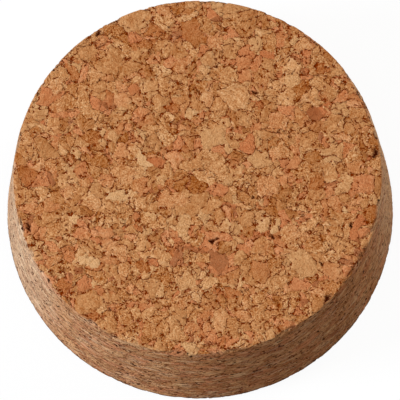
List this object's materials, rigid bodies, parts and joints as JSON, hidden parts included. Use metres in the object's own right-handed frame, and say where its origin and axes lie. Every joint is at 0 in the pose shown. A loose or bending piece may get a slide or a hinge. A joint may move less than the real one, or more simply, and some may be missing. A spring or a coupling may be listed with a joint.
{
  "type": "cork stopper",
  "caption": "Wide tapered disc stopper of agglomerated cork, to close the mouth of a jar or canister.",
  "frame": {"origin": "centre of the wide end face, on which the stopper stands", "axes": "+Z along the stopper's axis from the wide end face to the narrow one; X and Y in the wide end face"},
  "size_m": [0.0768, 0.0768, 0.0254],
  "materials": {
    "cork": "ground agglomerated cork, matt, granules of mixed tan, cream and red-brown"
  },
  "bodies": {
    "root": {"stopper": "cork"}
  },
  "joints": []
}
